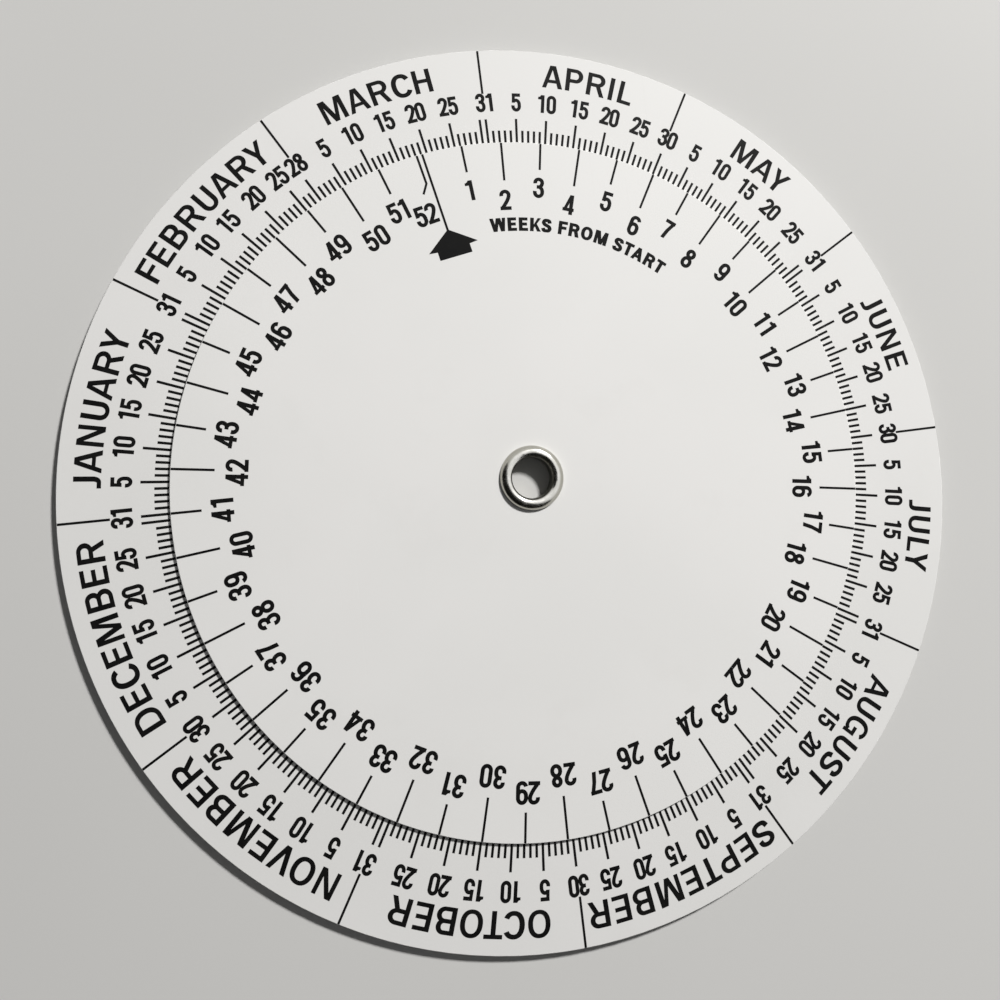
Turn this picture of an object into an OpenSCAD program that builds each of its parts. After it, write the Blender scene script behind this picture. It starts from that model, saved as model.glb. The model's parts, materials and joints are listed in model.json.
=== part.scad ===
// Date wheel calculator: a round base disc with the calendar, and a smaller
// week dial that turns on it, both held by one hollow metal eyelet.
// The wheel lies flat, printed side up. The origin is on the eyelet's axis,
// level with the lowest point of the eyelet's rolled end.

/* [Base disc] */
// Diameter of the base disc
base_d = 110; // [90:0.5:160]
// Thickness of the base disc's sheet
base_t = 0.5; // [0.3:0.05:1.2]

/* [Calendar ring] */
// Width of the ring that holds the months' names, out to the disc's edge
month_band = 5.8; // [3:0.1:8]
// Width of the ring that holds the day numbers
number_band = 3.4; // [2.5:0.1:5]
// Length of a long day tick that shows beyond the dial's edge
long_tick_len = 3.3; // [2.6:0.05:5]
// Length of a short day tick that shows beyond the dial's edge
tick_len = 1.75; // [0.8:0.05:2.5]
// Length of the ticks that the dial's edge hides
tick_hidden = 1.5; // [0.5:0.1:3]
// Width of the day ticks
tick_w = 0.3; // [0.15:0.01:0.4]

/* [Week dial] */
// Thickness of the week dial's sheet
dial_t = 0.5; // [0.3:0.05:1.2]
// Air between the two discs, which holds the print too
disc_gap = 0.08; // [0.05:0.01:0.2]
// Running clearance round the eyelet's barrel, on the radius
dial_play = 0.05; // [0.02:0.01:0.1]
// Radius of the soft edges that die-cutting leaves on both discs
cut_r = 0.08; // [0.03:0.01:0.12]

/* [Eyelet] */
// Diameter of the hole through the eyelet
bore_d = 5; // [4:0.1:5.4]
// Outer diameter of the domed front flange
flange_d = 7.9; // [7.6:0.1:10]
// Radius of the throat, where the flange turns down into the barrel
throat_r = 0.6; // [0.4:0.05:0.7]
// Thickness of the eyelet's sheet metal
metal_t = 0.25; // [0.15:0.01:0.3]
// Outer radius of the rolled end at the back
roll_r = 0.5; // [0.4:0.05:0.7]
// Clearance under the flange, so that the dial turns freely
flange_gap = 0.05; // [0.02:0.01:0.15]
// Clearance round the barrel in the base disc and the washer, on the radius
barrel_fit = 0.02; // [0.01:0.01:0.1]

/* [Back washer] */
// Outer diameter of the washer behind the base disc
washer_d = 9; // [8:0.1:12]
// Thickness of the washer
washer_t = 0.25; // [0.15:0.01:0.5]

/* [Print] */
// Thickness of the printed ink
ink_t = 0.02; // [0.01:0.005:0.04]
// Width of the month lines and the week lines
line_w = 0.28; // [0.15:0.01:0.4]
// Length of the odd weeks' lines, from the dial's edge inwards
odd_line_len = 3.5; // [2:0.1:4]
// Length of the even weeks' lines, from the dial's edge inwards
even_line_len = 5; // [4.2:0.1:6.5]
// Length of the last week's line past its bend
last_bend_len = 1.2; // [0.5:0.1:2]
// How far the end of the last week's line is bent away from the start line
last_bend_w = 0.8; // [0.3:0.05:1.2]

/* [Start arrow] */
// Day of the year that the start arrow points to
start_day = 78; // [0:1:364]
// Distance from the dial's edge to the arrow's tip
arrow_drop = 10.1; // [8:0.1:16]
// Length of the arrow's head
head_len = 2.35; // [1.5:0.05:4]
// Width of the arrow's head across its barbs
head_w = 6.4; // [5:0.1:9]
// Length of the broad shaft behind the head
shaft_len = 1.1; // [0.5:0.1:4]
// Width of the broad shaft
shaft_w = 4.2; // [2:0.1:4.8]
// Slope of the barbs' back edges, along the arrow
barb_slope = 0.1; // [0:0.05:0.5]

/* [Hidden] */

// The calendar year, which starts at the left and runs clockwise
MONTH_DAYS = [31, 28, 31, 30, 31, 30, 31, 31, 30, 31, 30, 31];
YEAR_DAYS = MONTH_DAYS * [for (days = MONTH_DAYS) 1];
LONG_TICK_EVERY = 5;
WEEKS = 52;
WEEK_DAYS = 7;
YEAR_START_ANGLE = 180;

base_r = base_d / 2;
month_line_r = base_r - month_band;
dial_r = month_line_r - number_band - long_tick_len;
bore_r = bore_d / 2;
barrel_r = bore_r + metal_t;
dome_r = flange_d / 2 - throat_r - bore_r;

// Heights, from the rolled end up to the flange
washer_z = roll_r;
base_z = washer_z + washer_t;
base_top = base_z + base_t;
dial_z = base_top + disc_gap;
dial_top = dial_z + dial_t;
flange_z = dial_top + flange_gap;
throat_z = flange_z + dome_r - throat_r;

$fn = 96;

// Angle of the end of a day, counted clockwise from 1 January at the left
function day_angle(day) = YEAR_START_ANGLE - 360 * day / YEAR_DAYS;

// Days of the year before a month
function days_before(month) =
  month == 0 ? 0 : MONTH_DAYS[month - 1] + days_before(month - 1);

// Every fifth day of a month and its last day have a long tick
function is_long(day, month) =
  day % LONG_TICK_EVERY == 0 || day == MONTH_DAYS[month];

// Flat ring with a hole and soft edges, its lower face on the plane z = 0
module plate(hole_r, outer_r, thickness, edge) {
  rotate_extrude() {
    translate([hole_r, 0])
      square([outer_r - edge - hole_r, thickness]);
    translate([hole_r, edge])
      square([outer_r - hole_r, thickness - 2 * edge]);
    for (z = [edge, thickness - edge])
      translate([outer_r - edge, z])
        circle(edge);
  }
}

// Straight line of ink along a radius, from one radius out to another
module radial_line(day, inner_r, outer_r, width) {
  rotate(day_angle(day))
    translate([inner_r, -width / 2])
      square([outer_r - inner_r, width]);
}

// Line of ink between two points, with a round start
module pen_line(from, to, width) {
  run = to - from;
  translate(from) {
    circle(width / 2);
    rotate(atan2(run[1], run[0]))
      translate([0, -width / 2])
        square([norm(run), width]);
  }
}

// A quarter of a bent metal sheet: right and up say which quarter
module bend(outer_radius, right, up) {
  intersection() {
    difference() {
      circle(outer_radius);
      circle(outer_radius - metal_t);
    }
    translate([right ? 0 : -outer_radius, up ? 0 : -outer_radius])
      square(outer_radius);
  }
}

module base_disc() {
  color("white")
    translate([0, 0, base_z])
      plate(barrel_r + barrel_fit, base_r, base_t, cut_r);
}

// One line after the last day of each month, out to the disc's edge
module month_lines() {
  color("black")
    translate([0, 0, base_top])
      linear_extrude(ink_t)
        for (month = [1:len(MONTH_DAYS)])
          radial_line(days_before(month), month_line_r, base_r - cut_r, line_w);
}

// One tick for each day of the year, running in under the dial's edge
module day_ticks() {
  color("black")
    translate([0, 0, base_top])
      linear_extrude(ink_t)
        for (month = [0:len(MONTH_DAYS) - 1])
          for (day = [1:MONTH_DAYS[month]])
            radial_line(
              days_before(month) + day,
              dial_r - tick_hidden,
              dial_r + (is_long(day, month) ? long_tick_len : tick_len),
              tick_w
            );
}

module week_dial() {
  color("white")
    translate([0, 0, dial_z])
      plate(barrel_r + dial_play, dial_r, dial_t, cut_r);
}

// One line for each whole week after the start, the odd ones shorter. The last
// one comes a day short of the start line, so it bends away to its number.
module week_lines() {
  edge = dial_r - cut_r;
  last_day = start_day + WEEKS * WEEK_DAYS - YEAR_DAYS;
  bend_r = dial_r - even_line_len + last_bend_len;
  color("black")
    translate([0, 0, dial_top])
      linear_extrude(ink_t) {
        for (week = [1:WEEKS - 1])
          radial_line(
            start_day + week * WEEK_DAYS,
            dial_r - (week % 2 == 1 ? odd_line_len : even_line_len),
            edge,
            line_w
          );
        radial_line(last_day, bend_r, edge, line_w);
        rotate(day_angle(last_day))
          pen_line([bend_r, 0], [bend_r - last_bend_len, last_bend_w], line_w);
      }
}

// The line at day nought and the arrow that points along it
module start_arrow() {
  tip_r = dial_r - arrow_drop;
  barb_r = tip_r - head_len;
  neck_r = barb_r - barb_slope;
  end_r = neck_r - shaft_len;
  color("black")
    translate([0, 0, dial_top])
      linear_extrude(ink_t) {
        radial_line(start_day, barb_r, dial_r - cut_r, line_w);
        rotate(day_angle(start_day))
          polygon([
            [tip_r, 0],
            [barb_r, head_w / 2],
            [neck_r, shaft_w / 2],
            [end_r, shaft_w / 2],
            [end_r, -shaft_w / 2],
            [neck_r, -shaft_w / 2],
            [barb_r, -head_w / 2]
          ]);
      }
}

// One drawn sheet: domed flange, throat, barrel and the end rolled at the back
module eyelet() {
  crest_r = bore_r + throat_r;
  color("silver")
    rotate_extrude() {
      translate([crest_r, flange_z])
        bend(dome_r, true, true);
      translate([crest_r, throat_z])
        bend(throat_r, false, true);
      translate([bore_r, roll_r])
        square([metal_t, throat_z - roll_r]);
      translate([bore_r + roll_r, roll_r]) {
        bend(roll_r, false, false);
        bend(roll_r, true, false);
      }
    }
}

// Ring that keeps the rolled end from cutting into the base disc
module back_washer() {
  color("silver")
    translate([0, 0, washer_z])
      plate(barrel_r + barrel_fit, washer_d / 2, washer_t, washer_t / 4);
}

base_disc();
month_lines();
day_ticks();
week_dial();
week_lines();
start_arrow();
eyelet();
back_washer();
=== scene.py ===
import json
import math

import bmesh
import bpy
from mathutils import Matrix, Vector, geometry


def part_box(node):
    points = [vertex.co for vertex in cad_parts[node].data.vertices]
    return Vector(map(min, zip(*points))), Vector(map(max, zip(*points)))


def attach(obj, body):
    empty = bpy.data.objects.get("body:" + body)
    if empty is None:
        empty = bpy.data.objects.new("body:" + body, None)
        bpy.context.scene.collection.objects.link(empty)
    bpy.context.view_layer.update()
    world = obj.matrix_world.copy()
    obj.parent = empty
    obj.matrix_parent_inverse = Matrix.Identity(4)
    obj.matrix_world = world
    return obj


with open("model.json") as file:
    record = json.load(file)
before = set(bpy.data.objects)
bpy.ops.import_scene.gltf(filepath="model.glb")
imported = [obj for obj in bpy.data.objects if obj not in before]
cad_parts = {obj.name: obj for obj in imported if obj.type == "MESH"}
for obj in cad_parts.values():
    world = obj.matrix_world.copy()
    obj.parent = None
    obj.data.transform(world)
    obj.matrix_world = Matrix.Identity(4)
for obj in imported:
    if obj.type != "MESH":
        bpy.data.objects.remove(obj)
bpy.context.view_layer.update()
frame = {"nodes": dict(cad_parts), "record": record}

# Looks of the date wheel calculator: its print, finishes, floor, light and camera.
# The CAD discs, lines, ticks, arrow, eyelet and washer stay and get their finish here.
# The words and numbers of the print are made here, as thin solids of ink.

MM = 0.001

# Sizes taken from the frame
DISC_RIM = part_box("base_disc")[1].x
DISC_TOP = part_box("base_disc")[1].z
DIAL_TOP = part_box("week_dial")[1].z
INK_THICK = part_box("day_ticks")[1].z - DISC_TOP
BORE_RADIUS = frame["record"]["mounts"][0]["dims"]["r_mm"] * MM

# Calendar print
YEAR_DAYS = 365
MONTH_BASELINE = 0.9125 * DISC_RIM
MONTH_HEIGHT = 3.05 * MM
# Widths of the upright and level strokes, in hundredths of the height
MONTH_WEIGHT = (19, 15.5)
DAY_NUMBER_WEIGHT = (18.5, 18)
WEEK_NUMBER_WEIGHT = (18, 17.5)
CAPTION_WEIGHT = (27, 22)
# Each month's name, its days, and how far its name stands clockwise of the month's middle, in mm
MONTHS = (
    ("JANUARY", 31, -0.90),
    ("FEBRUARY", 28, -0.11),
    ("MARCH", 31, 0.0),
    ("APRIL", 30, 0.82),
    ("MAY", 31, -0.62),
    ("JUNE", 30, 0.05),
    ("JULY", 31, 0.02),
    ("AUGUST", 31, -0.38),
    ("SEPTEMBER", 30, 0.20),
    ("OCTOBER", 31, -0.36),
    ("NOVEMBER", 30, -0.06),
    ("DECEMBER", 31, 0.19),
)
DAY_NUMBER_BASELINE = 0.8510 * DISC_RIM
DAY_NUMBER_HEIGHT = 2.38 * MM
DAY_NUMBER_STRETCH = 0.975
# How far each day number stands clockwise of its tick, in mm. February's were spaced one by one
DAY_NUMBER_SHIFT = {5: 0.0, 10: -0.06, 15: 0.13, 20: 0.10, 25: 0.21, 28: 0.08, 30: 0.05, 31: -0.04}
FEBRUARY_SHIFT = {5: 0.12, 10: 0.22, 15: -0.04, 20: 0.09, 25: -0.25}
# The two outer rings of print stand a little off the disc's centre
MONTH_RING_CENTRE = (0.09 * MM, 0.10 * MM)
DAY_RING_CENTRE = (0.09 * MM, 0.02 * MM)

# Week print
START_DAY = 78
WEEK_DAYS = 7
WEEKS = 52
LAST_WEEK_DAY = 74.75
ODD_WEEK_BASELINE = 0.6441 * DISC_RIM
EVEN_WEEK_BASELINE = 0.6136 * DISC_RIM
WEEK_NUMBER_HEIGHT = 2.58 * MM
WEEK_NUMBER_STRETCH = 1.03
# How far the week numbers stand clockwise of their lines, in mm, and those that stand further
WEEK_NUMBER_SHIFT = -0.15
WEEK_NUMBER_EXTRA = {4: -0.25, 5: 0.12, 6: 0.18, 9: 0.20, 20: 0.25, 31: -0.08, 50: 0.32, 52: 0.10}
WEEK_RING_CENTRE = (0.06 * MM, -0.09 * MM)
TIGHT_WEEKS = (*range(10, 26), 27, 29, 31, 33, 51, 52)
LOOSE_TRACKING = 7

# Caption that runs round from the arrow
CAPTION = "WEEKS FROM START"
CAPTION_BASELINE = 0.5625 * DISC_RIM
CAPTION_HEIGHT = 1.73 * MM
CAPTION_FIRST_DAY = 87.7
CAPTION_LAST_DAY = 130.6

# Camera: the photograph's place, seen square to no edge, and turned a little about its own axis
CAMERA_PLACE = Vector((-24.56, -1.75, 121.85)) * MM
CAMERA_AIM = Vector((-3.40, 11.62, 1.25)) * MM
CAMERA_ROLL = math.radians(-5.80)
LENS_MM = 36.0
SENSOR_MM = 36.0
LENS_SHIFT = (0.0060, -0.1136)


# Strokes of a letter, in hundredths of its height

def slab(foot, head, width, low=0, high=100):
    """Straight stroke with level ends, from x = foot below to x = head above."""
    return [[(foot, low), (foot + width, low), (head + width, high), (head, high)]]


def bar(left, right, middle, thick):
    """Level stroke whose middle is at the height given."""
    low = middle - thick / 2
    high = middle + thick / 2
    return [[(left, low), (right, low), (right, high), (left, high)]]


def arc(middle, radii, start, end, squareness=2.0, steps=14):
    """Points along an oval from one angle to another, in degrees."""
    points = []
    for step in range(steps + 1):
        angle = math.radians(start + (end - start) * step / steps)
        across = math.copysign(abs(math.cos(angle)) ** (2 / squareness), math.cos(angle))
        up = math.copysign(abs(math.sin(angle)) ** (2 / squareness), math.sin(angle))
        points.append((middle[0] + radii[0] * across, middle[1] + radii[1] * up))
    return points


def smooth(knots, steps=5):
    """Points along a smooth curve through the knots."""
    knots = [Vector(knot) for knot in knots]
    ends = [2 * knots[0] - knots[1], 2 * knots[-1] - knots[-2]]
    padded = [ends[0], *knots, ends[1]]
    points = []
    for before, here, there, after in zip(padded, padded[1:], padded[2:], padded[3:]):
        for step in range(steps):
            t = step / steps
            bend = 2 * before - 5 * here + 4 * there - after
            twist = 3 * here - before - 3 * there + after
            points.append(here + 0.5 * t * (there - before + t * (bend + t * twist)))
    points.append(knots[-1])
    return [tuple(point) for point in points]


def pen(path, nib, closed=False):
    """Stroke that an upright oval nib, given by its two half widths, draws along a path."""
    points = [Vector(path[0])]
    for point in path[1:]:
        if (Vector(point) - points[-1]).length > 0.01:
            points.append(Vector(point))
    count = len(points)
    edges = []
    for index, point in enumerate(points):
        if closed:
            before = points[index - 1]
            after = points[(index + 1) % count]
        else:
            before = points[max(index - 1, 0)]
            after = points[min(index + 1, count - 1)]
        along = (after - before).normalized()
        reach = Vector((nib[0] ** 2 * -along.y, nib[1] ** 2 * along.x))
        reach /= math.hypot(nib[0] * along.y, nib[1] * along.x)
        edges.append((tuple(point - reach), tuple(point + reach)))
    pieces = []
    for index in range(count if closed else count - 1):
        right, left = edges[index]
        next_right, next_left = edges[(index + 1) % count]
        pieces.append([right, next_right, next_left])
        pieces.append([right, next_left, left])
    return pieces


def bowl(start, right, high, low, nib, squareness=2.0):
    """Bowl of a letter: out from the stem at one height, round to the right, and back at another."""
    middle = (start, (high + low) / 2)
    radii = (right - nib[0] - start, (high - low) / 2)
    return pen([(nib[0], high), *arc(middle, radii, 90, -90, squareness, 20), (nib[0], low)], nib)


# Letters and figures: width, room on the left, room on the right, strokes

def letters(stem, level):
    """Condensed upright capitals, from the widths of their upright and level strokes."""
    thin = stem - 2.5
    nib = (stem / 2, level / 2)
    side = stem / 2
    top = 100 - level / 2
    foot = level / 2
    over = 1.0
    tall = 50 + over - level / 2
    post = slab(0, 0, stem)
    heavy = (side + 0.8, level / 2 + 0.8)
    open_ring = arc((43, 50), (42 - side, tall - 0.8), 32, 328, 2.25, 36)
    whole_ring = arc((43.5, 50), (43.5 - side, tall), 0, 352, 2.25, 44)
    hook = arc((24, 32), (23 - side, 32 - foot), 0, -90, 2.2)
    cup = arc((35.25, 35), (35.25 - side, 35 - foot + over), 180, 360, 2.2, 24)
    snake = smooth([
        (76 - side, 68), (70.5 - side, 85), (40, top), (side + 11, 86), (side + 4, 72),
        (side + 12, 59), (40, 51), (70 - side, 42.5), (77.5 - side, 27.5), (69.5 - side, 13),
        (39, foot), (side + 8.5, 13), (side + 1, 30),
    ])
    fork = [(39 - side, 40), (39 + side, 40)]
    return {
        " ": (34, 0, 0, []),
        "A": (87, 1.5, 1.5,
              slab(0, 31, thin + 1) + slab(87 - stem, 56 - stem, stem) + bar(20, 67, 30, level - 1.5)),
        "B": (76, 12, 5.5, post + bowl(43, 72, top, 51, nib) + bowl(44, 76, 51, foot, nib)),
        "C": (78.5, 7, 2.5, pen(open_ring, heavy)),
        "D": (84.5, 12, 5.5, post + bowl(38, 84.5, top, foot, nib, 2.2)),
        "E": (67, 11.5, 5,
              post + bar(0, 65, top, level) + bar(0, 60.5, 51, level) + bar(0, 67, foot, level)),
        "F": (67, 12, 0, post + bar(0, 67, top, level) + bar(0, 60.5, 50, level)),
        "G": (81, 7, 11.5,
              pen(arc((42, 50), (42 - side, tall), 40, 318, 2.25, 36), nib)
              + bar(44, 81, 46, level) + slab(83 - thin, 83 - thin, thin - 2, 0, 50)),
        "H": (75.5, 12.5, 12, post + slab(75.5 - stem, 75.5 - stem, stem) + bar(0, 75, 51, level)),
        "I": (stem, 10.5, 11, post),
        "J": (47.5, 3, 11.5, pen([(47.5 - side, 100), *hook, (2, foot)], nib)),
        "K": (80, 12, 0, post + [[(stem, 24), (80, 100), (58 - stem / 9, 100), (stem, 50)]]
              + [[(79 - stem, 0), (80, 0), (44, 66), (30, 50)]]),
        "L": (60.5, 13, 0, post + bar(0, 60.5, foot, level)),
        "M": (99, 11.5, 12.5,
              slab(0, 0, thin) + slab(99 - stem, 99 - stem, stem)
              + slab(39, 8, stem + 1) + slab(41, 71, thin)),
        "N": (77, 12.5, 13.5,
              slab(0, 0, thin) + slab(77 - thin, 77 - thin, thin) + slab(76.5 - stem, 3, stem + 0.5)),
        "O": (87, 5.5, 5.5, pen(whole_ring, nib, True)),
        "P": (74, 13, 6.5, post + bowl(42, 74, top, 46, nib)),
        "R": (80, 13, 8.5,
              post + bowl(45, 78, top, 49, nib) + slab(79 - stem, 37, stem + 1, 0, 49)),
        "S": (78.5, 3, 5, pen(snake, heavy)),
        "T": (72.5, 3, 0, slab(36.25 - side, 36.25 - side, stem) + bar(0, 72.5, top, level)),
        "U": (70.5, 10, 9.5, pen([(side, 100), *cup, (70.5 - side, 100)], nib)),
        "V": (80.5, -1, 1.5, slab(29.5, 0, stem + 1) + slab(50.5 - stem, 80.5 - stem, stem)),
        "W": (118, 1, 1,
              slab(22, 0, stem) + slab(26, 48, thin) + slab(76, 54, stem) + slab(80, 118 - thin, thin)),
        "Y": (78, -2.5, 0,
              slab(39 - side, 39 - side, stem, 0, 44) + [[*fork, (stem + 2, 100), (0, 100)]]
              + [[*fork, (78, 100), (78 - stem, 100)]]),
    }


def digits(stem, level):
    """Condensed upright figures of one width, from the widths of their strokes."""
    nib = (stem / 2, level / 2)
    side = stem / 2
    wide = 54
    half = wide / 2
    reach = half - side
    over = 2.0
    top = 100 + over - level / 2
    foot = level / 2 - over
    flat_top = 100 - level / 2
    high_half = arc((half, 74), (reach, top - 74), 0, 180)
    low_half = arc((half, 26), (reach, 26 - foot), 180, 360)
    flag = [
        (0, 75), (37 - stem, 75), (37 - stem, 100), (34 - stem, 100), (30 - stem, 93),
        (24 - stem, 89), (0, 88),
    ]
    hood = arc((half, 75), (reach, top - 75), 195, 0)
    swan = smooth([(wide - side, 74), (wide - side - 3, 61), (half + 3, 38), (side + 1, 10)])
    small_bowl = [
        *arc((half, 76), (reach - 1, top - 76), 195, 0), *arc((half, 76), (reach - 1, 22), 0, -90),
        (18, 54),
    ]
    large_bowl = [
        (18, 54), *arc((half, 30), (reach, 24), 90, 0),
        *arc((half, 27), (reach, 27 - foot), 0, -195),
    ]
    belly = arc((half, 38), (reach, 24), 140, 0) + arc((half, 28), (reach, 28 - foot), 0, -192)
    upper_ring = arc((half, 76), (reach - 2.5, top - 76), 0, 350, 2.0, 35)
    lower_ring = arc((half, 28.5), (reach, 28.5 - foot), 0, 350, 2.1, 35)
    hook = arc((half, 74), (reach, top - 74), 12, 180)
    cup = arc((half, 28), (reach, 28 - foot), 180, 360)
    cap = arc((half, 38), (reach, 20), 0, 165)
    six = pen(hook + cup + cap, nib)
    nine = [[(wide - x, 100 - y) for x, y in piece] for piece in six]
    return {
        "0": (wide, 0, 0, pen(high_half + low_half, nib, True)),
        "1": (36, 5, 13, slab(36 - stem, 36 - stem, stem) + [flag]),
        "2": (wide, 0, 0, pen(hood + swan, nib) + bar(0, 53, level / 2, level)),
        "3": (wide, 0, 0, pen(small_bowl, nib) + pen(large_bowl, nib)),
        "4": (55, 0, 0,
              slab(31, 31, stem) + bar(0, 55, 25, level - 1)
              + slab(0, 30, stem - 2, 25.5 - level / 2, 100)),
        "5": (wide, 0, 0,
              bar(5, 51, flat_top, level) + slab(3.5, 6, stem - 2, 48, 100) + pen(belly, nib)),
        "6": (wide, 0, 0, six),
        "7": (wide, 0, 0,
              bar(1, 53, flat_top, level) + slab(12, 20, stem, 0, 46)
              + slab(20, 53 - stem, stem, 46, 92)),
        "8": (wide, 0, 0, pen(upper_ring, nib, True) + pen(lower_ring, nib, True)),
        "9": (wide, 0, 0, nine),
    }


# Ink solids

def turned_left(outline):
    """The outline with its corners in anticlockwise order, or None where it has no area."""
    area = 0.0
    for (x, y), (next_x, next_y) in zip(outline, outline[1:] + outline[:1]):
        area += x * next_y - next_x * y
    if abs(area) < 1e-3:
        return None
    return outline if area > 0 else outline[::-1]


def merged(strokes):
    """Triangles that cover the strokes once, and the edges round them."""
    corners = []
    faces = []
    for outline in filter(None, map(turned_left, strokes)):
        faces.append(list(range(len(corners), len(corners) + len(outline))))
        corners.extend(Vector(corner) for corner in outline)
    points, _, cells, _, _, owners = geometry.delaunay_2d_cdt(corners, [], faces, 1, 1e-4)
    triangles = [tuple(cell) for cell, owner in zip(cells, owners) if owner]
    sides = set()
    for triangle in triangles:
        sides.update(zip(triangle, triangle[1:] + triangle[:1]))
    rim = [(start, end) for start, end in sorted(sides) if (end, start) not in sides]
    used = sorted({corner for triangle in triangles for corner in triangle})
    order = {corner: index for index, corner in enumerate(used)}
    return (
        [points[corner] for corner in used],
        [tuple(order[corner] for corner in triangle) for triangle in triangles],
        [(order[start], order[end]) for start, end in rim],
    )


class Typeface:
    """Glyphs of one weight, each cut once and then printed many times."""

    def __init__(self, table):
        self.widths = {}
        self.cuts = {}
        for sign, (width, left, right, strokes) in table.items():
            self.widths[sign] = (width, left, right)
            if strokes:
                self.cuts[sign] = merged(strokes)

    def setting(self, text, tracking=0.0):
        """Where each sign's left edge stands, and the whole width."""
        places = []
        pen_x = -self.widths[text[0]][1]
        for sign in text:
            width, left, right = self.widths[sign]
            places.append(pen_x + left)
            pen_x += left + width + right + tracking
        return places, pen_x - tracking - self.widths[text[-1]][2]


def print_sign(mesh, cut, place):
    """Add one glyph to a mesh as a closed solid of ink, by a function from glyph to paper."""
    points, triangles, rim = cut
    above = []
    below = []
    for point in points:
        x, y, z = place(point)
        above.append(mesh.verts.new((x, y, z + INK_THICK)))
        below.append(mesh.verts.new((x, y, z)))
    for a, b, c in triangles:
        mesh.faces.new((above[a], above[b], above[c]))
        mesh.faces.new((below[c], below[b], below[a]))
    for start, end in rim:
        mesh.faces.new((below[start], below[end], above[end], above[start]))


def paper_place(middle, radius, height, scale, stretch):
    """Function that takes a glyph's point to the disc, standing upright at an angle."""
    outward = Vector((math.cos(middle), math.sin(middle)))
    along = Vector((outward.y, -outward.x))

    def place(point, shift=0.0):
        spot = outward * (radius + point[1] * scale) + along * ((point[0] + shift) * scale * stretch)
        return spot.x, spot.y, height

    return place


def day_angle(day):
    """Angle of a day of the year on the base disc. The year starts at the left and runs clockwise."""
    return math.pi - 2 * math.pi * day / YEAR_DAYS


def print_number(mesh, face, text, angle, radius, height, size, stretch, tracking=0.0):
    """Print a number as one straight block that stands upright at an angle."""
    places, width = face.setting(text, tracking)
    scale = size / 100
    place = paper_place(angle, radius, height, scale, stretch)
    for sign, left in zip(text, places):
        print_sign(mesh, face.cuts[sign], lambda point: place(point, left - width / 2))


def print_word(mesh, face, text, angle, radius, height, size, tracking=0.0):
    """Print a word round an arc, each letter turned upright."""
    places, width = face.setting(text, tracking)
    scale = size / 100
    for sign, left in zip(text, places):
        if sign == " ":
            continue
        half = face.widths[sign][0] / 2
        turn = (left + half - width / 2) * scale / (radius + size / 2)
        place = paper_place(angle - turn, radius, height, scale, 1.0)
        print_sign(mesh, face.cuts[sign], lambda point: place(point, -half))


def ink_piece(name, body, mesh, material, centre=(0, 0)):
    """Turn a mesh into a printed piece that rides on a body, its rings round the centre given."""
    bmesh.ops.translate(mesh, verts=mesh.verts, vec=(*centre, 0))
    data = bpy.data.meshes.new(name)
    mesh.to_mesh(data)
    mesh.free()
    data.materials.append(material)
    piece = bpy.data.objects.new(name, data)
    bpy.context.scene.collection.objects.link(piece)
    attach(piece, body)
    return piece


def month_names(material):
    """The twelve names along the disc's edge, each round its own arc."""
    face = Typeface(letters(*MONTH_WEIGHT))
    mesh = bmesh.new()
    first = 0
    for name, days, shift in MONTHS:
        angle = day_angle(first + days / 2) - shift * MM / (MONTH_BASELINE + MONTH_HEIGHT / 2)
        print_word(mesh, face, name, angle, MONTH_BASELINE, DISC_TOP, MONTH_HEIGHT)
        first += days
    ink_piece("month_names", "base", mesh, material, MONTH_RING_CENTRE)


def day_numbers(material):
    """Every fifth day of each month and its last day, inside the ring of names."""
    face = Typeface(digits(*DAY_NUMBER_WEIGHT))
    mesh = bmesh.new()
    first = 0
    for name, days, _ in MONTHS:
        shifts = DAY_NUMBER_SHIFT | FEBRUARY_SHIFT if name == "FEBRUARY" else DAY_NUMBER_SHIFT
        for number in (5, 10, 15, 20, 25, days):
            shift = shifts[number]
            angle = day_angle(first + number) - shift * MM / DAY_NUMBER_BASELINE
            print_number(mesh, face, str(number), angle, DAY_NUMBER_BASELINE, DISC_TOP,
                         DAY_NUMBER_HEIGHT, DAY_NUMBER_STRETCH)
        first += days
    ink_piece("day_numbers", "base", mesh, material, DAY_RING_CENTRE)


def week_numbers(material):
    """1 to 52 on the dial, each at the inner end of its line."""
    face = Typeface(digits(*WEEK_NUMBER_WEIGHT))
    mesh = bmesh.new()
    for week in range(1, WEEKS + 1):
        day = LAST_WEEK_DAY if week == WEEKS else START_DAY + WEEK_DAYS * week
        radius = ODD_WEEK_BASELINE if week % 2 else EVEN_WEEK_BASELINE
        tracking = 0 if week in TIGHT_WEEKS else LOOSE_TRACKING
        shift = WEEK_NUMBER_SHIFT + WEEK_NUMBER_EXTRA.get(week, 0.0)
        angle = day_angle(day) - shift * MM / radius
        print_number(mesh, face, str(week), angle, radius, DIAL_TOP, WEEK_NUMBER_HEIGHT,
                     WEEK_NUMBER_STRETCH, tracking)
    ink_piece("week_numbers", "dial", mesh, material, WEEK_RING_CENTRE)


def weeks_caption(material):
    """The caption round from the arrow, spaced so that it fills its arc."""
    face = Typeface(letters(*CAPTION_WEIGHT))
    sweep = day_angle(CAPTION_FIRST_DAY) - day_angle(CAPTION_LAST_DAY)
    room = sweep * (CAPTION_BASELINE + CAPTION_HEIGHT / 2) / (CAPTION_HEIGHT / 100)
    tracking = (room - face.setting(CAPTION)[1]) / (len(CAPTION) - 1)
    mesh = bmesh.new()
    middle = day_angle((CAPTION_FIRST_DAY + CAPTION_LAST_DAY) / 2)
    print_word(mesh, face, CAPTION, middle, CAPTION_BASELINE, DIAL_TOP, CAPTION_HEIGHT, tracking)
    ink_piece("weeks_caption", "dial", mesh, material)


# Studio: lengths in metres, the lamp's power in watts

FLOOR_SIZE = 6.0
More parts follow.
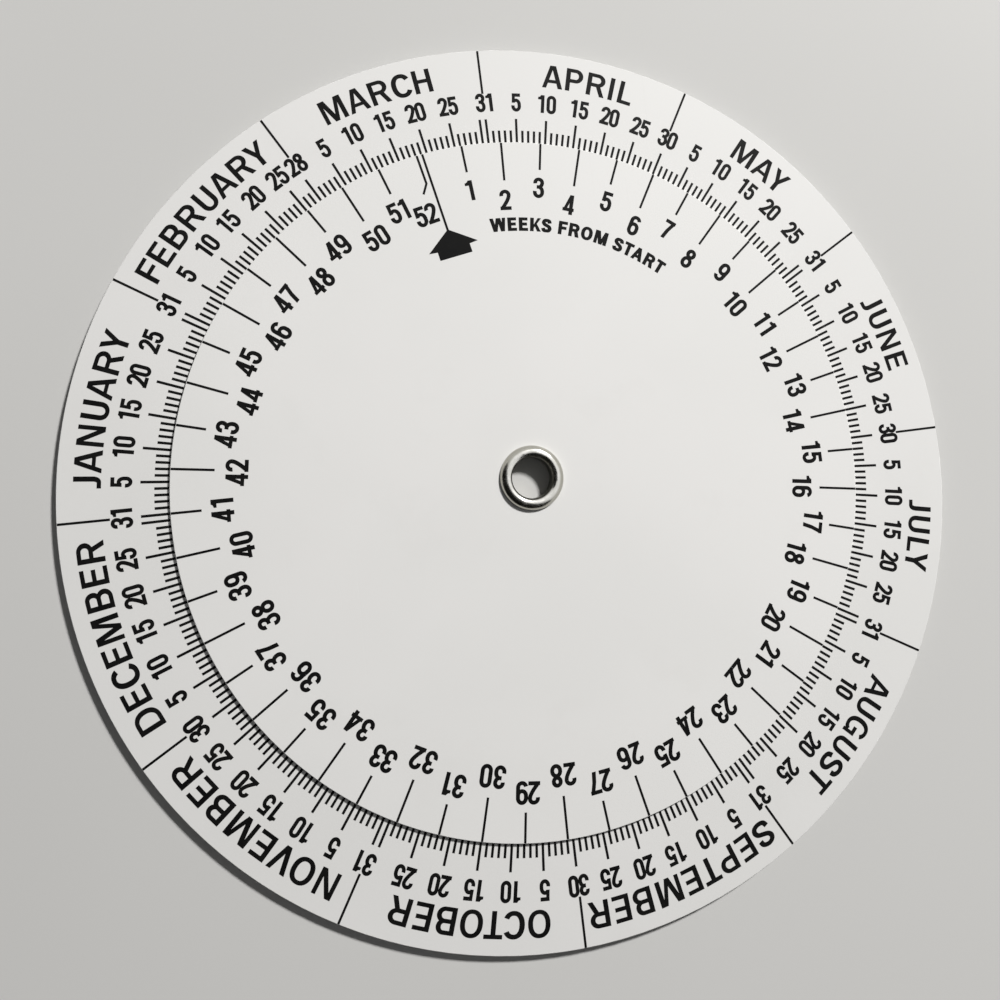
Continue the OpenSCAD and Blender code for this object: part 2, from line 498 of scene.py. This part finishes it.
# The floor is plain card up to the first distance and all backdrop from the second on
FLOOR_NEAR = 0.085
FLOOR_FAR = 0.26
BACKGROUND = (0.84, 0.84, 0.83)
# Fill light from all round
WORLD_LEVEL = 0.09
# The lamp's direction, distance, height, diameter, power and colour
KEY_TURN = math.radians(50)
KEY_AWAY = 0.62
KEY_HIGH = 0.62
KEY_SIZE = 0.115
KEY_POWER = 8.90
KEY_COLOUR = (1.0, 0.985, 0.965)
# The dark card's direction, the distance of its foot, its width and height, and how far it leans in
FLAG_TURN = math.radians(226)
FLAG_AWAY = 0.34
FLAG_WIDE = 2.20
FLAG_HIGH = 0.45
FLAG_LEAN = 0.33


# Colours of the finishes: pairs that clouds and patches blend, what wear adds, and the eyelet's painted
# shade

DISC_WHITES = ((0.768, 0.768, 0.758), (0.790, 0.788, 0.780))
DISC_SMUDGE = (0.750, 0.748, 0.736)
DIAL_WHITES = ((0.791, 0.791, 0.781), (0.814, 0.812, 0.803))
DIAL_SMUDGE = (0.772, 0.770, 0.758)
INK_BLACKS = ((0.0040, 0.0040, 0.0042), (0.0070, 0.0070, 0.0068))
INK_SPECK = (0.030, 0.029, 0.028)
NICKEL_GREYS = ((0.74, 0.73, 0.69), (0.84, 0.83, 0.80))
# Painted shade: dark colour inside the eyelet's barrel, standing in for the shade in the bore
NICKEL_BORE_SHADE = (0.070, 0.068, 0.045)
# Painted shade: darker colour on the eyelet's outer rim, where the flange meets the dial
NICKEL_RIM_SHADE = (0.36, 0.35, 0.30)
CARD_GREYS = ((0.61, 0.61, 0.60), (0.64, 0.64, 0.63))
FELT_BLACKS = ((0.006, 0.006, 0.006), (0.014, 0.014, 0.012))

# How far outside the bore the painted shade in the barrel ends and the painted shade on the rim begins,
# in metres
BORE_SHADE_FADE = (0.10 * MM, 0.32 * MM)
RIM_SHADE_RISE = (0.72 * MM, 1.05 * MM)


# Finishes

def new_material(name):
    """Material with a node tree, and its surface shader."""
    material = bpy.data.materials.new(name)
    material.use_nodes = True
    return material, material.node_tree, material.node_tree.nodes["Principled BSDF"]


def add_node(tree, kind, inputs=None, **settings):
    """Node with its settings, its plain inputs and its linked inputs."""
    made = tree.nodes.new(kind)
    for name, value in settings.items():
        setattr(made, name, value)
    for name, value in (inputs or {}).items():
        if isinstance(value, bpy.types.NodeSocket):
            tree.links.new(value, made.inputs[name])
        else:
            made.inputs[name].default_value = value
    return made


def noise(tree, where, scale, detail=4.0, rough=0.5):
    """Cloudy value about 0.5, from a place."""
    made = add_node(tree, "ShaderNodeTexNoise",
                    {"Vector": where, "Scale": scale, "Detail": detail, "Roughness": rough})
    return made.outputs["Fac"]


def span(tree, value, low, high, out_low, out_high):
    """Value taken smoothly from one span to another, and held at its ends."""
    made = add_node(tree, "ShaderNodeMapRange", {
        "Value": value,
        "From Min": low,
        "From Max": high,
        "To Min": out_low,
        "To Max": out_high,
    }, interpolation_type="SMOOTHSTEP")
    return made.outputs["Result"]


def math_node(tree, operation, first, second=0.0):
    """Result of one operation on two values, each a plain number or a link."""
    made = tree.nodes.new("ShaderNodeMath")
    made.operation = operation
    for index, value in enumerate((first, second)):
        if isinstance(value, bpy.types.NodeSocket):
            tree.links.new(value, made.inputs[index])
        else:
            made.inputs[index].default_value = value
    return made.outputs["Value"]


def mixed_colour(tree, amount, first, second):
    """Colour between two, each plain or linked, by an amount from 0 to 1."""
    made = add_node(tree, "ShaderNodeMix", data_type="RGBA")
    tree.links.new(amount, made.inputs["Factor"])
    for name, colour in (("A", first), ("B", second)):
        socket = [entry for entry in made.inputs if entry.name == name and entry.type == "RGBA"][0]
        if isinstance(colour, bpy.types.NodeSocket):
            tree.links.new(colour, socket)
        else:
            socket.default_value = (*colour, 1.0)
    return [entry for entry in made.outputs if entry.type == "RGBA"][0]


def scratches(tree, where, turn, scale, amount):
    """Sparse fine straight marks that lie along one direction, 0 to 1."""
    turned = add_node(tree, "ShaderNodeMapping",
                      {"Vector": where, "Rotation": (0, 0, turn), "Scale": (1.0, 0.012, 1.0)})
    marks = noise(tree, turned.outputs["Vector"], scale, 2.0)
    return span(tree, marks, 0.70, 0.78, 0.0, amount)


def seen_ray(tree):
    """1 for what the camera sees, also in metal or through glass, and 0 for fill light."""
    path = tree.nodes.new("ShaderNodeLightPath")
    seen = math_node(tree, "MAXIMUM", path.outputs["Is Camera Ray"], path.outputs["Is Glossy Ray"])
    return math_node(tree, "MAXIMUM", seen, path.outputs["Is Transmission Ray"])


def add_bump(tree, surface, height, strength, distance):
    """Fine relief on a surface, from a height."""
    bump = add_node(tree, "ShaderNodeBump",
                    {"Height": height, "Strength": strength, "Distance": distance})
    tree.links.new(bump.outputs["Normal"], surface.inputs["Normal"])


def sheet_finish(name, seed, whites, smudge):
    """Matt white PVC sheet: faint clouds, handling marks, fine scratches and a pressed grain."""
    material, tree, surface = new_material(name)
    place = tree.nodes.new("ShaderNodeTexCoord").outputs["Object"]
    moved = add_node(tree, "ShaderNodeMapping", {"Vector": place, "Location": (seed, seed, 0)})
    where = moved.outputs["Vector"]
    clouds = noise(tree, where, 34, 3.0)
    smudges = span(tree, noise(tree, where, 120, 5.0, 0.6), 0.54, 0.74, 0.0, 1.0)
    white = mixed_colour(tree, span(tree, clouds, 0.35, 0.65, 0, 1), *whites)
    worn = mixed_colour(tree, math_node(tree, "MULTIPLY", smudges, 0.35), white, smudge)
    tree.links.new(worn, surface.inputs["Base Color"])
    first = scratches(tree, where, 0.5, 2600, 1.0)
    second = scratches(tree, where, -1.1, 3100, 0.8)
    marks = math_node(tree, "MAXIMUM", first, second)
    grain = noise(tree, where, 5200, 2.0)
    rough = span(tree, clouds, 0.3, 0.7, 0.56, 0.62)
    rough = math_node(tree, "ADD", rough, math_node(tree, "MULTIPLY", marks, 0.12))
    rough = math_node(tree, "SUBTRACT", rough, math_node(tree, "MULTIPLY", smudges, 0.05))
    tree.links.new(rough, surface.inputs["Roughness"])
    height = math_node(tree, "SUBTRACT", grain, math_node(tree, "MULTIPLY", marks, 0.7))
    add_bump(tree, surface, height, 0.10, 0.02 * MM)
    surface.inputs["IOR"].default_value = 1.53
    surface.inputs["Specular IOR Level"].default_value = 0.3
    return material


def ink_finish():
    """Screen-printed black: nearly even, a little denser in clouds, with a slight gloss."""
    material, tree, surface = new_material("printed_black")
    where = tree.nodes.new("ShaderNodeTexCoord").outputs["Object"]
    clouds = noise(tree, where, 420, 4.0)
    specks = span(tree, noise(tree, where, 5200, 2.0), 0.62, 0.76, 0.0, 1.0)
    black = mixed_colour(tree, span(tree, clouds, 0.3, 0.7, 0, 1), *INK_BLACKS)
    worn = mixed_colour(tree, math_node(tree, "MULTIPLY", specks, 0.25), black, INK_SPECK)
    tree.links.new(worn, surface.inputs["Base Color"])
    tree.links.new(span(tree, clouds, 0.3, 0.7, 0.46, 0.58), surface.inputs["Roughness"])
    add_bump(tree, surface, noise(tree, where, 4200, 2.0), 0.12, 0.01 * MM)
    surface.inputs["Specular IOR Level"].default_value = 0.06
    return material


def distance_from_axis(tree, x, y):
    """Distance from the eyelet's axis."""
    squares = [math_node(tree, "MULTIPLY", part, part) for part in (x, y)]
    return math_node(tree, "SQRT", math_node(tree, "ADD", *squares))


def nickel_finish():
    """Nickel plate: rub marks round the axis, dull patches, and painted shade in the barrel and on the
    outer rim, which leaves the crest brightest.
    """
    material, tree, surface = new_material("nickel_plate")
    where = tree.nodes.new("ShaderNodeTexCoord").outputs["Object"]
    parts = add_node(tree, "ShaderNodeSeparateXYZ", {"Vector": where})
    x, y, z = parts.outputs["X"], parts.outputs["Y"], parts.outputs["Z"]
    radius = distance_from_axis(tree, x, y)
    turn = math_node(tree, "MULTIPLY", math_node(tree, "ARCTAN2", y, x), 0.02 * MM)
    ring = add_node(tree, "ShaderNodeCombineXYZ", {"X": radius, "Y": turn, "Z": z})
    rub = noise(tree, ring.outputs["Vector"], 16000, 3.0)
    patches = noise(tree, where, 900, 4.0)
    metal = mixed_colour(tree, span(tree, patches, 0.35, 0.65, 0, 1), *NICKEL_GREYS)
    # Painted shade in the barrel: near the bore the metal turns dark and rougher
    bore_shade = span(tree, radius, BORE_RADIUS + BORE_SHADE_FADE[0], BORE_RADIUS + BORE_SHADE_FADE[1], 1, 0)
    metal = mixed_colour(tree, math_node(tree, "MULTIPLY", bore_shade, 0.85), metal, NICKEL_BORE_SHADE)
    # Painted shade on the outer rim, next to the dial
    rim_shade = span(tree, radius, BORE_RADIUS + RIM_SHADE_RISE[0], BORE_RADIUS + RIM_SHADE_RISE[1], 0, 0.8)
    metal = mixed_colour(tree, rim_shade, metal, NICKEL_RIM_SHADE)
    tree.links.new(metal, surface.inputs["Base Color"])
    surface.inputs["Metallic"].default_value = 1.0
    rough = span(tree, patches, 0.3, 0.7, 0.14, 0.22)
    rough = math_node(tree, "ADD", rough, span(tree, rub, 0.4, 0.7, 0.0, 0.08))
    rough = math_node(tree, "ADD", rough, math_node(tree, "MULTIPLY", bore_shade, 0.15))
    tree.links.new(rough, surface.inputs["Roughness"])
    height = math_node(tree, "ADD", rub, math_node(tree, "MULTIPLY", patches, 2.0))
    add_bump(tree, surface, height, 0.10, 0.01 * MM)
    return material


def floor_finish():
    """Pale matt card under the wheel. Far from the wheel it turns into the backdrop."""
    material, tree, surface = new_material("pale_card")
    where = tree.nodes.new("ShaderNodeTexCoord").outputs["Object"]
    clouds = noise(tree, where, 6, 3.0)
    pale = mixed_colour(tree, span(tree, clouds, 0.3, 0.7, 0, 1), *CARD_GREYS)
    tree.links.new(pale, surface.inputs["Base Color"])
    surface.inputs["Roughness"].default_value = 0.8
    surface.inputs["Specular IOR Level"].default_value = 0.2
    away = add_node(tree, "ShaderNodeVectorMath", {0: where}, operation="LENGTH")
    far = span(tree, away.outputs["Value"], FLOOR_NEAR, FLOOR_FAR, 0.0, 1.0)
    backdrop = add_node(tree, "ShaderNodeEmission", {"Color": (*BACKGROUND, 1.0)})
    blend = add_node(tree, "ShaderNodeMixShader", {
        0: math_node(tree, "MULTIPLY", far, seen_ray(tree)),
        1: surface.outputs["BSDF"],
        2: backdrop.outputs["Emission"],
    })
    tree.links.new(blend.outputs["Shader"], tree.nodes["Material Output"].inputs["Surface"])
    return material


def flag_finish():
    """Black felt of the studio's flag, which only the metal sees."""
    material, tree, surface = new_material("black_felt")
    where = tree.nodes.new("ShaderNodeTexCoord").outputs["Object"]
    felt = mixed_colour(tree, noise(tree, where, 400), *FELT_BLACKS)
    tree.links.new(felt, surface.inputs["Base Color"])
    surface.inputs["Roughness"].default_value = 0.95
    surface.inputs["Specular IOR Level"].default_value = 0.0
    return material


def finish_nodes(disc, dial, ink, nickel):
    """Give each CAD node its finish."""
    finishes = {
        "base_disc": disc,
        "week_dial": dial,
        "month_lines": ink,
        "day_ticks": ink,
        "week_lines": ink,
        "start_arrow": ink,
        "eyelet": nickel,
        "back_washer": nickel,
    }
    for node, material in finishes.items():
        data = frame["nodes"][node].data
        data.materials.clear()
        data.materials.append(material)


# Studio

def stage_piece(name, points, material):
    """One flat face of the studio, which isn't part of the object."""
    mesh = bpy.data.meshes.new(name)
    mesh.from_pydata(points, [], [tuple(range(len(points)))])
    mesh.materials.append(material)
    piece = bpy.data.objects.new(name, mesh)
    bpy.context.scene.collection.objects.link(piece)
    return piece


def make_floor():
    """Level card that the wheel lies on."""
    half = FLOOR_SIZE / 2
    corners = [(-half, -half, 0), (half, -half, 0), (half, half, 0), (-half, half, 0)]
    stage_piece("floor", corners, floor_finish())


def make_flag():
    """Dark card at the side away from the lamp. It shows in the metal, and nowhere else."""
    foot = Vector((math.cos(FLAG_TURN), math.sin(FLAG_TURN), 0)) * FLAG_AWAY
    across = Vector((-foot.y, foot.x, 0)).normalized() * FLAG_WIDE / 2
    low = foot + Vector((0, 0, MM))
    high = foot * (1 - FLAG_LEAN / FLAG_AWAY) + Vector((0, 0, FLAG_HIGH))
    corners = [low - across, low + across, high + across, high - across]
    flag = stage_piece("flag", corners, flag_finish())
    flag.visible_camera = False
    flag.visible_diffuse = False
    flag.visible_shadow = False


def make_world():
    """Pale backdrop for the camera and for what metal reflects, and a dimmer fill light."""
    world = bpy.data.worlds.new("studio")
    bpy.context.scene.world = world
    world.use_nodes = True
    tree = world.node_tree
    colour = mixed_colour(tree, seen_ray(tree), (WORLD_LEVEL,) * 3, BACKGROUND)
    tree.links.new(colour, tree.nodes["Background"].inputs["Color"])


def make_key():
    """One soft round lamp, high up towards the upper right."""
    lamp = bpy.data.lights.new("key", "AREA")
    lamp.shape = "DISK"
    lamp.size = KEY_SIZE
    lamp.energy = KEY_POWER
    lamp.color = KEY_COLOUR
    key = bpy.data.objects.new("key", lamp)
    key.location = (KEY_AWAY * math.cos(KEY_TURN), KEY_AWAY * math.sin(KEY_TURN), KEY_HIGH)
    key.rotation_euler = (-key.location).to_track_quat("-Z", "Y").to_euler()
    bpy.context.scene.collection.objects.link(key)


def make_camera():
    """Camera at the photograph's place, with its turn and its shifted lens."""
    look = (CAMERA_AIM - CAMERA_PLACE).normalized()
    right = look.cross(Vector((0, 1, 0))).normalized()
    up = right.cross(look)
    axes = Matrix((right, up, -look)).transposed()
    lens = bpy.data.cameras.new("camera")
    lens.sensor_width = SENSOR_MM
    lens.lens = LENS_MM
    lens.shift_x, lens.shift_y = LENS_SHIFT
    lens.clip_start = 0.001
    camera = bpy.data.objects.new("camera", lens)
    camera.matrix_world = (Matrix.Translation(CAMERA_PLACE) @ axes.to_4x4()
                           @ Matrix.Rotation(CAMERA_ROLL, 4, "Z"))
    bpy.context.scene.collection.objects.link(camera)
    bpy.context.scene.camera = camera


make_camera()
black = ink_finish()
disc_white = sheet_finish("disc_sheet", 0.31, DISC_WHITES, DISC_SMUDGE)
dial_white = sheet_finish("dial_sheet", 0.57, DIAL_WHITES, DIAL_SMUDGE)
finish_nodes(disc_white, dial_white, black, nickel_finish())
month_names(black)
day_numbers(black)
week_numbers(black)
weeks_caption(black)
make_floor()
make_flag()
make_world()
make_key()
bpy.context.scene.view_settings.view_transform = "Standard"
